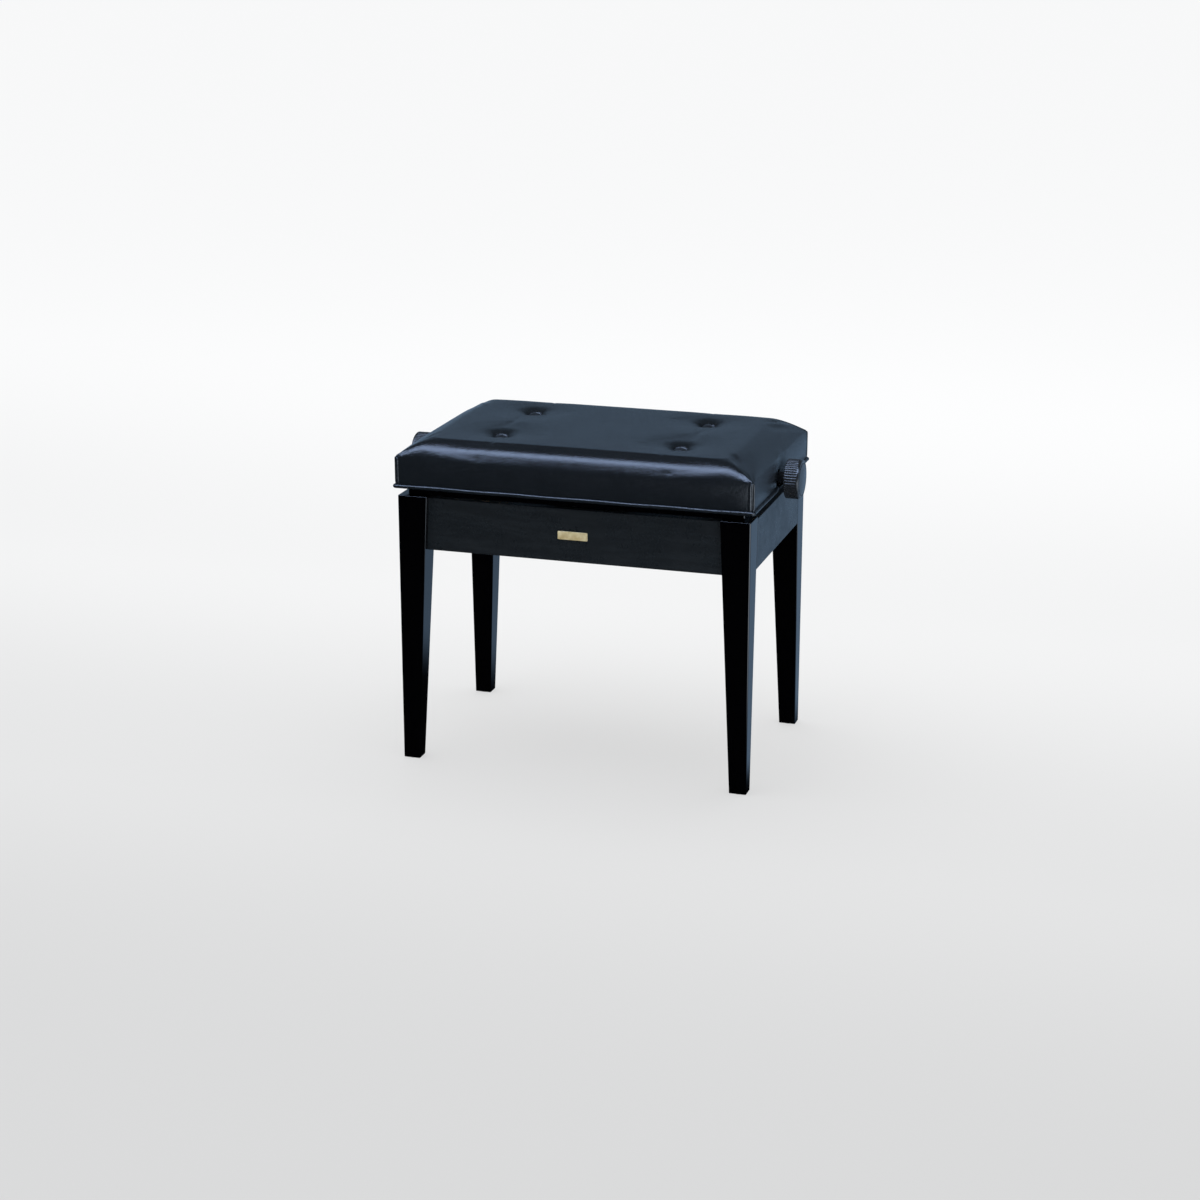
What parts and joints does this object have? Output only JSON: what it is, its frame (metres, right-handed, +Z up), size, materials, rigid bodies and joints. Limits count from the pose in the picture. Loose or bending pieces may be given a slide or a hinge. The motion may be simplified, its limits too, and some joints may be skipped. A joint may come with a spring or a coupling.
{
  "type": "piano bench",
  "caption": "Rectangular padded bench with tufted vinyl seat on tapered wooden legs; a screw spindle with side knobs and a scissor lift set its height.",
  "frame": {"origin": "on the floor under the middle of the four legs", "axes": "+Z up, +X along the spindle to the right-hand knob, -Y the front face with the nameplate"},
  "size_m": [0.591, 0.34, 0.48],
  "materials": {
    "black_lacquer": "polished black lacquer over wood",
    "black_satin": "satin black over fine-grained wood",
    "bare_wood": "unfinished beech and plywood",
    "zinc_steel": "bright zinc plating",
    "dark_steel": "black stove enamel",
    "nylon": "natural nylon",
    "black_plastic": "moulded black phenolic",
    "vinyl": "black pebble-grained vinyl with a soft sheen",
    "foam": "polyurethane foam",
    "twine": "waxed twine",
    "brass": "satin brass",
    "glide_plastic": "hard black plastic"
  },
  "bodies": {
    "base": {"leg_front_left": "black_lacquer", "leg_front_right": "black_lacquer", "leg_back_left": "black_lacquer", "leg_back_right": "black_lacquer", "apron_front": "black_satin", "apron_back": "black_satin", "apron_left": "black_satin", "apron_right": "black_satin", "apron_dowels": "bare_wood", "corner_blocks": "bare_wood", "frame_screws": "zinc_steel", "hanger_bolts": "zinc_steel", "foot_glides": "glide_plastic", "lower_rail_front": "dark_steel", "lower_rail_back": "dark_steel", "cross_member": "dark_steel", "guide_plate_front": "dark_steel", "guide_plate_back": "dark_steel", "nameplate": "brass"},
    "seat": {"base_board_front": "black_lacquer", "base_board_back": "black_lacquer", "base_board_left": "black_lacquer", "base_board_right": "black_lacquer", "seat_rail_front": "bare_wood", "seat_rail_back": "bare_wood", "seat_rail_left": "bare_wood", "seat_rail_right": "bare_wood", "seat_panel": "bare_wood", "seat_screws": "zinc_steel", "twine_washers": "zinc_steel", "foam_pad": "foam", "vinyl_cover": "vinyl", "bottom_piping": "vinyl", "corner_piping": "vinyl", "tuft_buttons": "vinyl", "tuft_twine": "twine", "bearing_left": "black_plastic", "bearing_right": "black_plastic", "upper_rail_front": "dark_steel", "upper_rail_back": "dark_steel"},
    "spindle": {"spindle_rod": "zinc_steel", "set_screws": "zinc_steel", "thrust_collars": "zinc_steel", "knob_left": "black_plastic", "knob_right": "black_plastic", "knob_caps": "black_plastic"},
    "nut_left": {"nut_bar_left": "zinc_steel", "nut_rollers_left": "nylon"},
    "nut_right": {"nut_bar_right": "zinc_steel", "nut_rollers_right": "nylon"},
    "scissor_centre": {"centre_rod": "zinc_steel", "centre_washers": "zinc_steel"},
    "outer_arms": {"outer_arm_front": "dark_steel", "outer_arm_back": "dark_steel", "outer_cross_rod": "zinc_steel", "outer_rollers": "nylon"},
    "inner_arms": {"inner_arm_front": "dark_steel", "inner_arm_back": "dark_steel", "inner_cross_rod": "zinc_steel", "inner_rollers": "nylon"}
  },
  "joints": [
    {"name": "seat_lift", "type": "slide", "parent": "base", "child": "seat", "axis": [0, 0, 1], "range_m": [0, 0.08]},
    {"name": "scissor_centre_lift", "type": "slide", "parent": "base", "child": "scissor_centre", "axis": [0, 0, 1], "range_m": [0, 0.04]},
    {"name": "outer_arms_swing", "type": "hinge", "parent": "scissor_centre", "child": "outer_arms", "pos_m": [0, 0, 0.38345], "axis": [0, -1, 0], "range_deg": [0, 14.5]},
    {"name": "inner_arms_swing", "type": "hinge", "parent": "scissor_centre", "child": "inner_arms", "pos_m": [0, 0, 0.38345], "axis": [0, 1, 0], "range_deg": [0, 14.5]},
    {"name": "left_nut_slide", "type": "slide", "parent": "seat", "child": "nut_left", "axis": [1, 0, 0], "range_m": [0, 0.018]},
    {"name": "right_nut_slide", "type": "slide", "parent": "seat", "child": "nut_right", "axis": [-1, 0, 0], "range_m": [0, 0.018]},
    {"name": "spindle_turn", "type": "hinge", "parent": "seat", "child": "spindle", "pos_m": [0, 0, 0.425], "axis": [1, 0, 0], "range_deg": [0, 2640]}
  ],
  "couplings": [
    {"joint": "scissor_centre_lift", "follows": "seat_lift", "ratio": 0.5},
    {"joint": "outer_arms_swing", "follows": "seat_lift", "rad_per_m": 3.1407},
    {"joint": "inner_arms_swing", "follows": "seat_lift", "rad_per_m": 3.1407},
    {"joint": "left_nut_slide", "follows": "seat_lift", "ratio": 0.1831},
    {"joint": "right_nut_slide", "follows": "seat_lift", "ratio": 0.1831},
    {"joint": "spindle_turn", "follows": "seat_lift", "rad_per_m": 575.23}
  ]
}
